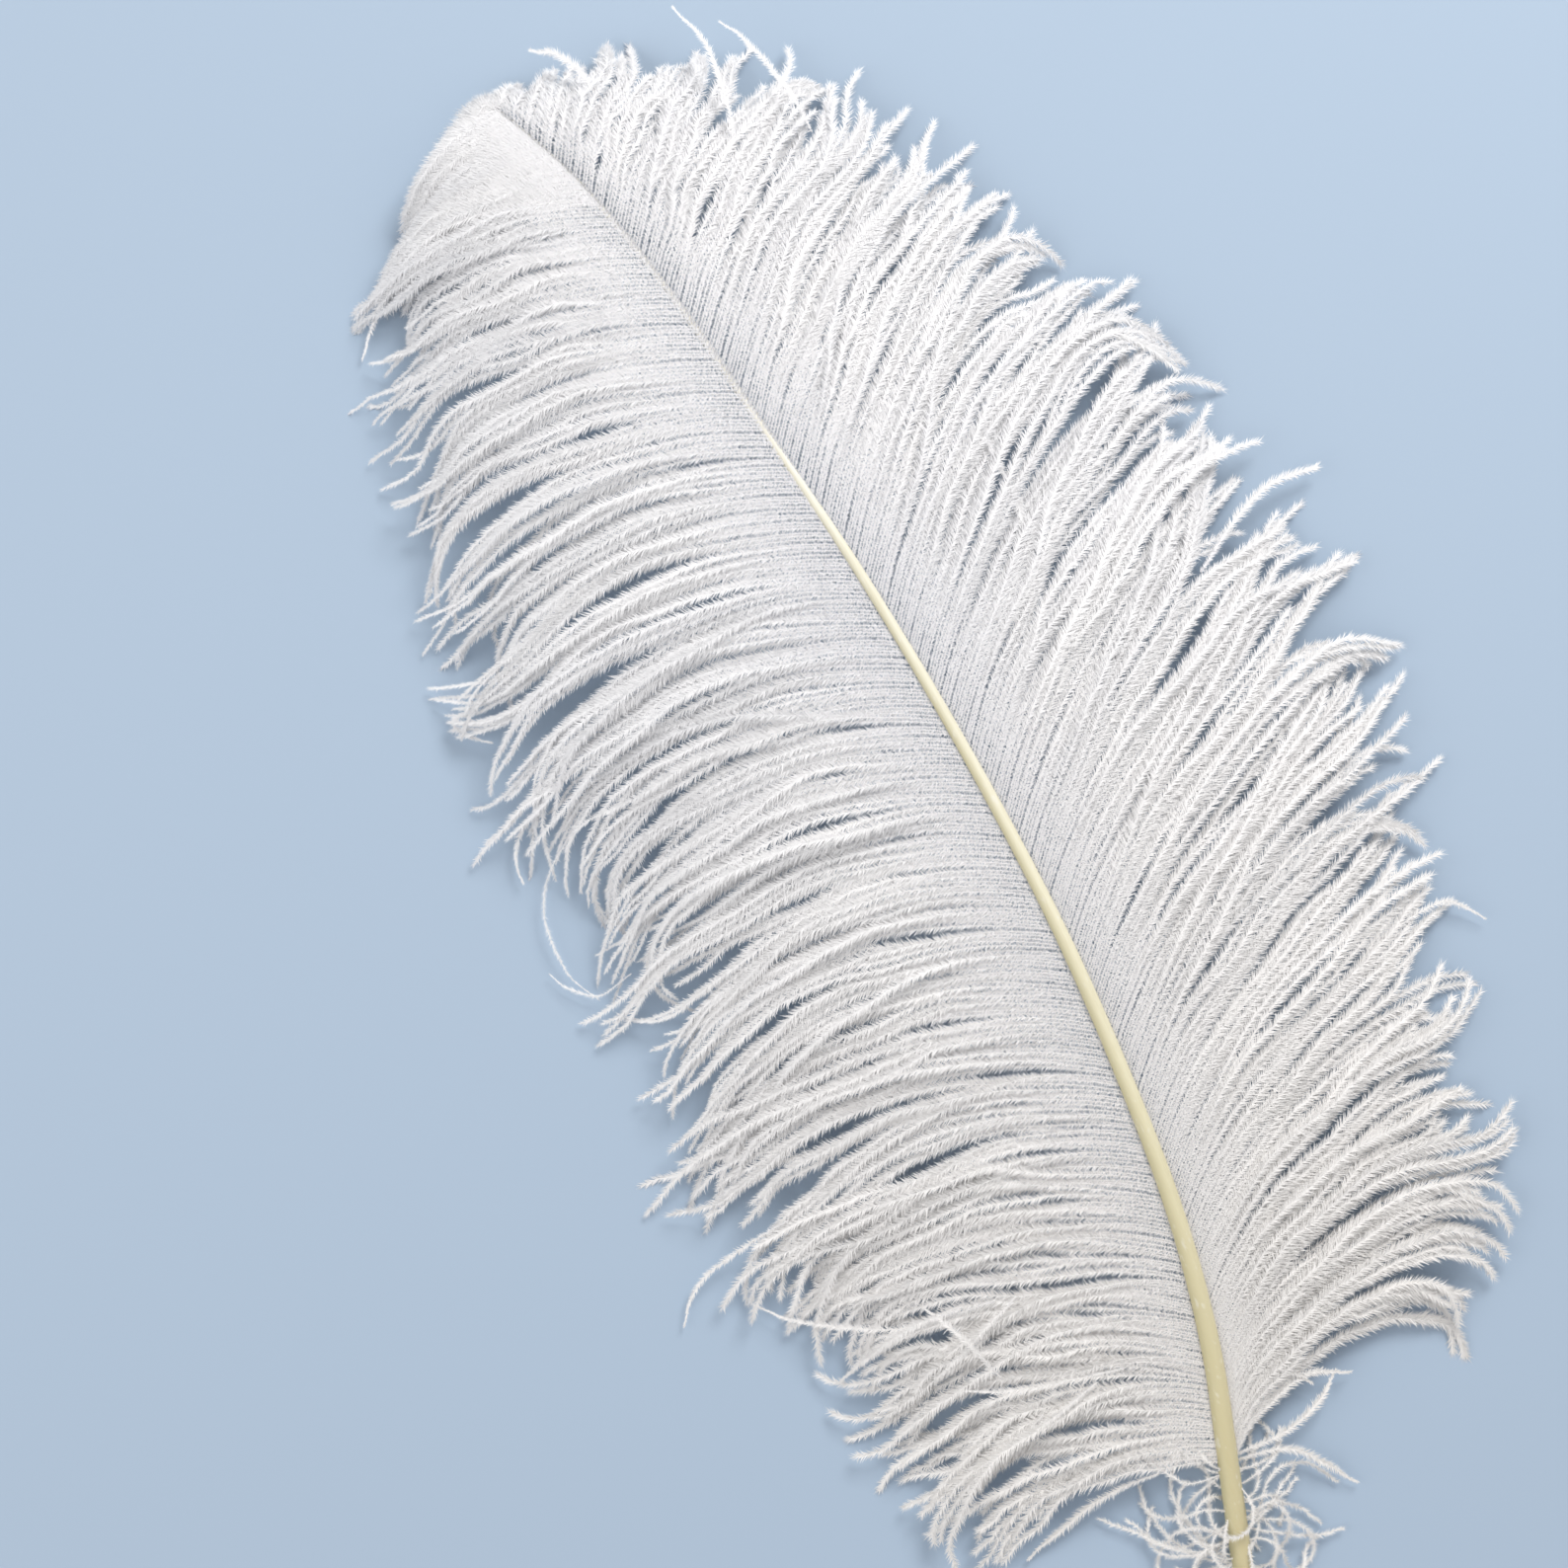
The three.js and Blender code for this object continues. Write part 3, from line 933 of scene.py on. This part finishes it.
fineStreaks = streakGroup()


def streaked(tree, surface, look):
    # the streaks at this material's own size rough it up, and their mask is for its colour
    streaks = tree.nodes.new("ShaderNodeGroup")
    streaks.node_tree = fineStreaks
    tree.links.new(placed(tree, look["streakStretch"]), streaks.inputs["Place"])
    setInputs(streaks, ("Scale", "Detail"), look["streakScales"])
    roughness = ranged(tree, streaks.outputs["Mask"], (0, 1), look["roughness"])
    tree.links.new(roughness, surface.inputs["Roughness"])
    bump = tree.nodes.new("ShaderNodeBump")
    setInputs(bump, ("Strength", "Distance"), look["bump"])
    tree.links.new(streaks.outputs["Height"], bump.inputs["Height"])
    tree.links.new(bump.outputs["Normal"], surface.inputs["Normal"])
    return streaks.outputs["Mask"]


barbFinish = {
    "white": (0.95, 0.945, 0.945, 1),
    "paintedShade": (0.80, 0.80, 0.825, 1),  # painted shade: cool grey beside the shaft, where shade falls between the barbs
    "paintedShadeReach": 0.34,  # share of the barb that the painted shade reaches
    "paintedShadeInHead": ((0.08, 0.26), 0.35),  # places along Y, in metres, where the painted shade fades to this
    "streak": (0.84, 0.84, 0.855, 1),
    "tintStreak": 0.75,  # of it in the least white barbs
    "maskStreak": 0.22,  # and where the mask is dark
    "warm": (0.84, 0.81, 0.765, 1),  # towards the quill
    "warmAlong": ((-0.33, 0.08), 0.7),  # places along Y that it fades between, and its share
    "streakStretch": (1, 1, 1),
    "streakScales": (55.0, 1400.0),  # coarse and fine
    "roughness": (0.9, 0.68),
    "bump": (0.25, 0.0002),
    "specular": 0.15,
}


def barbMaterial():
    material, surface = startedMaterial("barbWhite")
    tree = material.node_tree
    streaks = streaked(tree, surface, barbFinish)
    share, tint = attribute(tree, "barbShare"), attribute(tree, "barbTint")
    split = tree.nodes.new("ShaderNodeSeparateXYZ")
    tree.links.new(placed(tree, (1, 1, 1)), split.inputs["Vector"])
    # painted shade: greyer and cooler near the shaft, less so in the head
    paintedShadeNearShaft = ranged(tree, share, (0, barbFinish["paintedShadeReach"]), (1, 0))
    fading, least = barbFinish["paintedShadeInHead"]
    paintedShadeBelowHead = ranged(tree, split.outputs["Y"], fading, (1, least))
    paintedShadeMask = worked(tree, "MULTIPLY", paintedShadeNearShaft, paintedShadeBelowHead)
    color = mixed(tree, paintedShadeMask, barbFinish["white"], barbFinish["paintedShade"])
    tintStreak = ranged(tree, tint, (0, 1), (barbFinish["tintStreak"], 0))
    color = mixed(tree, tintStreak, color, barbFinish["streak"])
    maskStreak = ranged(tree, streaks, (0, 1), (barbFinish["maskStreak"], 0))
    color = mixed(tree, maskStreak, color, barbFinish["streak"])
    fading, most = barbFinish["warmAlong"]
    warm = ranged(tree, split.outputs["Y"], fading, (most, 0))
    color = mixed(tree, warm, color, barbFinish["warm"])
    tree.links.new(color, surface.inputs["Base Color"])
    surface.inputs["Specular IOR Level"].default_value = barbFinish["specular"]
    return material


shaftFinish = {
    # share of the shaft from the quill's end, and its colour there
    "along": (
        (0.0, (0.62, 0.54, 0.32, 1)),
        (0.1, (0.64, 0.57, 0.34, 1)),
        (0.2, (0.73, 0.67, 0.44, 1)),
        (0.3, (0.81, 0.76, 0.54, 1)),
        (0.42, (0.87, 0.83, 0.64, 1)),
        (0.7, (0.88, 0.86, 0.75, 1)),
        (0.82, (0.86, 0.85, 0.85, 1)),
        (1.0, (0.90, 0.90, 0.91, 1)),
    ),
    "inner": (0.60, 0.54, 0.30, 1),  # olive along its inner side, partly its own colour and partly painted shade on the side away from the key light
    "oliveAndShadeAcross": ((-0.95, 0.3), 0.85),  # places across it that the olive and its painted shade fade between, its share
    "oliveAndShadeAlong": ((0.55, 0.8), 0.1),  # shares of the shaft where it fades to this
    "streak": (0.66, 0.60, 0.38, 1),
    "maskStreak": 0.4,
    "flake": (0.90, 0.89, 0.84, 1),
    "flakeScale": 420.0,
    "flakeStretch": (1, 0.4, 1),
    "flakes": ((0.62, 0.72), 0.3),  # range of the noise that they show in, and how much
    "streakStretch": (1, 0.06, 1),
    "streakScales": (420.0, 1500.0),  # coarse and fine
    "roughness": (0.5, 0.32),
    "bump": (0.35, 0.0003),
}


def shaftRamp(tree, share):  # the shaft's own colour along its length
    ramp = tree.nodes.new("ShaderNodeValToRGB")
    stops = ramp.color_ramp.elements
    for number, (place, color) in enumerate(shaftFinish["along"]):
        stop = stops[number] if number < 1 else stops.new(place)
        stop.position, stop.color = place, color
    stops.remove(stops[len(stops) - 1])  # the ramp's own last stop
    tree.links.new(share, ramp.inputs["Fac"])
    return ramp.outputs["Color"]


def shaftMaterial():
    material, surface = startedMaterial("shaftCream")
    tree = material.node_tree
    streaks = streaked(tree, surface, shaftFinish)
    share = attribute(tree, "shaftShare")
    # olive on the inner side: partly its own colour, partly painted shade on the side away from the key
    # light
    across, most = shaftFinish["oliveAndShadeAcross"]
    inner = ranged(tree, attribute(tree, "shaftAcross"), across, (most, 0))
    along, least = shaftFinish["oliveAndShadeAlong"]
    inner = worked(tree, "MULTIPLY", inner, ranged(tree, share, along, (1, least)))
    color = mixed(tree, inner, shaftRamp(tree, share), shaftFinish["inner"])
    maskStreak = ranged(tree, streaks, (0, 1), (shaftFinish["maskStreak"], 0))
    color = mixed(tree, maskStreak, color, shaftFinish["streak"])
    flakes = tree.nodes.new("ShaderNodeTexNoise")
    flakes.inputs["Scale"].default_value = shaftFinish["flakeScale"]
    tree.links.new(placed(tree, shaftFinish["flakeStretch"]), flakes.inputs["Vector"])
    shown, most = shaftFinish["flakes"]
    flaked = ranged(tree, flakes.outputs["Fac"], shown, (0, most))
    color = mixed(tree, flaked, color, shaftFinish["flake"])
    tree.links.new(color, surface.inputs["Base Color"])
    return material


shaftLook = {
    "sides": 20,
    "step": 9.0,  # between rings
    "quillEnd": (0.0, 0.5, 1.4, 3.0, 5.5, 9.0),  # rings that round off the end
    "endRound": 9.0,
    "endSize": 0.2,  # the first ring's share of the full radius
    "headSize": 0.45,  # the last ring's
    "groove": (52.0, 92.0),  # the underside is grooved from here, and fully from there
    "grooveDepth": 0.42,  # shares of the radius
    "grooveWidth": 0.62,
    "grooveEdge": (0.1, 0.9),  # how softly it begins
}


def shaftRings():  # distance, middle, radius and heading of each ring of the shaft
    first, last, step = shaftLook["endRound"], plume["shaftLength"], shaftLook["step"]
    distance = np.r_[shaftLook["quillEnd"], np.arange(first + step, last, step), last]
    middle, radius, heading = shaftAt(distance)
    rounding = np.sqrt(np.clip(1 - (1 - distance / first) ** 2, 0, 1))
    rounding = np.where(distance < first, np.maximum(rounding, shaftLook["endSize"]), 1)
    radius = radius * rounding
    middle[:, 2] = np.maximum(middle[:, 2], radius)
    radius[-1] *= shaftLook["headSize"]
    return distance, middle, radius, heading


def drawnOut(middle, radius, heading):
    # a ring at the quill's end, extruded, resized and turned from each place to the next
    ways = np.gradient(middle, axis=0)
    lean = np.arctan2(ways[:, 2], np.hypot(ways[:, 0], ways[:, 1]))
    quarter = math.radians(90)
    bpy.ops.object.select_all(action="DESELECT")
    bpy.ops.mesh.primitive_circle_add(
        vertices=shaftLook["sides"], radius=radius[0] * mm, fill_type="NGON",
        location=middle[0] * mm, rotation=(quarter + lean[0], 0, heading[0] - quarter),
    )
    piece = bpy.context.object
    piece.name = "shaft"
    bpy.ops.object.transform_apply(location=True, rotation=True, scale=True)
    bpy.ops.object.mode_set(mode="EDIT")
    bpy.ops.mesh.select_all(action="SELECT")
    for i in range(1, len(middle)):
        move, centre = (middle[i] - middle[i - 1]) * mm, tuple(middle[i] * mm)
        grow, turn = radius[i] / radius[i - 1], heading[i] - heading[i - 1]
        bpy.ops.mesh.extrude_region_move(TRANSFORM_OT_translate={"value": tuple(move)})
        bpy.ops.transform.resize(value=(grow, grow, grow), center_override=centre)
        bpy.ops.transform.rotate(value=-turn, orient_axis="Z", center_override=centre)
    bpy.ops.mesh.select_all(action="SELECT")
    bpy.ops.mesh.normals_make_consistent(inside=False)
    bpy.ops.object.mode_set(mode="OBJECT")
    return piece


def grooved(mesh, distance, middle):
    # a groove along the underside, and each point's share along and place across for the colours
    places = np.zeros(len(mesh.vertices) * 3, np.float32)
    mesh.vertices.foreach_get("co", places)
    places = places.reshape(-1, 3).astype(float) / mm
    along = np.interp(places[:, 1], middle[:, 1], distance)
    centre = np.stack([np.interp(along, distance, column) for column in middle.T], 1)
    size = shaftAt(along)[1]
    across = places[:, 0] - centre[:, 0]
    under = np.clip((centre[:, 2] - places[:, 2]) / size, 0, 1)
    inside = np.clip(1 - np.abs(across) / (shaftLook["grooveWidth"] * size), 0, 1)
    depth = smoothStep(along, *shaftLook["groove"]) * shaftLook["grooveDepth"] * size
    places[:, 2] += depth * smoothStep(under * inside, *shaftLook["grooveEdge"])
    mesh.vertices.foreach_set("co", (places * mm).astype(np.float32).ravel())
    across = np.clip(across / size, -1, 1)
    mark(mesh, {"shaftShare": along / plume["shaftLength"], "shaftAcross": across})


def shaftPiece():
    distance, middle, radius, heading = shaftRings()
    piece = drawnOut(middle, radius, heading)
    mesh = piece.data
    grooved(mesh, distance, middle)
    modifier = piece.modifiers.new("smooth", "SUBSURF")
    modifier.levels = modifier.render_levels = 1
    bpy.ops.object.modifier_apply(modifier=modifier.name)
    bpy.ops.object.shade_smooth()
    mesh.materials.append(shaftCream)
    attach(piece, "root")
    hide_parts("feather")
    print("shaft", len(mesh.polygons), "faces")


floorLook = {
    "size": 6,
    "color": (0.40, 0.50, 0.62, 1),
    "roughness": 0.9,
}


def addFloor():  # the surface that it lies on
    bpy.ops.object.select_all(action="DESELECT")
    bpy.ops.mesh.primitive_plane_add(size=floorLook["size"], location=(0, 0, 0))
    floor = bpy.context.object
    floor.name = "floor"
    floorPaper, surface = startedMaterial("floorPaper")
    setInputs(surface, ("Base Color", "Roughness"), (floorLook["color"], floorLook["roughness"]))
    floor.data.materials.append(floorPaper)


view = {
    "lens": 85.0,
    "sensor": 36.0,
    "frameWidth": 0.611,  # of the surface, in metres
    "centre": (-0.0564, 0.0389),
    "turn": -26.66,  # degrees, so that the shaft leans across the frame
}


def placedObject(name, data, place, turn):
    holder = bpy.data.objects.new(name, data)
    bpy.context.collection.objects.link(holder)
    holder.location = place
    holder.rotation_euler = turn
    return holder


def addCamera():
    camera = bpy.data.cameras.new("camera")
    camera.lens = view["lens"]
    camera.sensor_width = view["sensor"]
    height = view["frameWidth"] * view["lens"] / view["sensor"]
    place, turn = (*view["centre"], height), (0, 0, math.radians(view["turn"]))
    bpy.context.scene.camera = placedObject("camera", camera, place, turn)


# soft lamps that point at the frame's origin, sizes and places in metres
lamps = {
    "keyLight": {"place": (1.3, 1.0, 1.4), "size": 0.9, "power": 33, "color": (1, 0.98, 0.96)},
    "fillLight": {"place": (-1.6, 0.45, 1.5), "size": 2.0, "power": 19, "color": (1, 0.99, 0.98)},
}
surround = {
    "color": (0.98, 0.98, 1, 1),
    "strength": 0.52,
}


def addLamp(name, place, size, power, color):
    lamp = bpy.data.lights.new(name, "AREA")
    lamp.size = size
    lamp.energy = power
    lamp.color = color
    placedObject(name, lamp, place, (-Vector(place)).to_track_quat("-Z", "Y").to_euler())


def addSurround():
    world = bpy.data.worlds.new("studio")
    world.use_nodes = True
    background = world.node_tree.nodes["Background"]
    setInputs(background, ("Color", "Strength"), (surround["color"], surround["strength"]))
    bpy.context.scene.world = world
    bpy.context.scene.view_settings.view_transform = "Standard"


barbWhite = barbMaterial()
shaftCream = shaftMaterial()
print("materials made")

shaftPiece()
vanePieces(innerVane)
vanePieces(outerVane)
joinedPiece("headDown", barbsAlong(headPaths(), headLook))
joinedPiece("quillDown", barbsAlong(downPaths(), downLook))
joinedPiece("strayBarbs", strayBarbs())

addFloor()
addCamera()
for name, look in lamps.items():
    addLamp(name, **look)
addSurround()
print("floor, camera and lights placed")
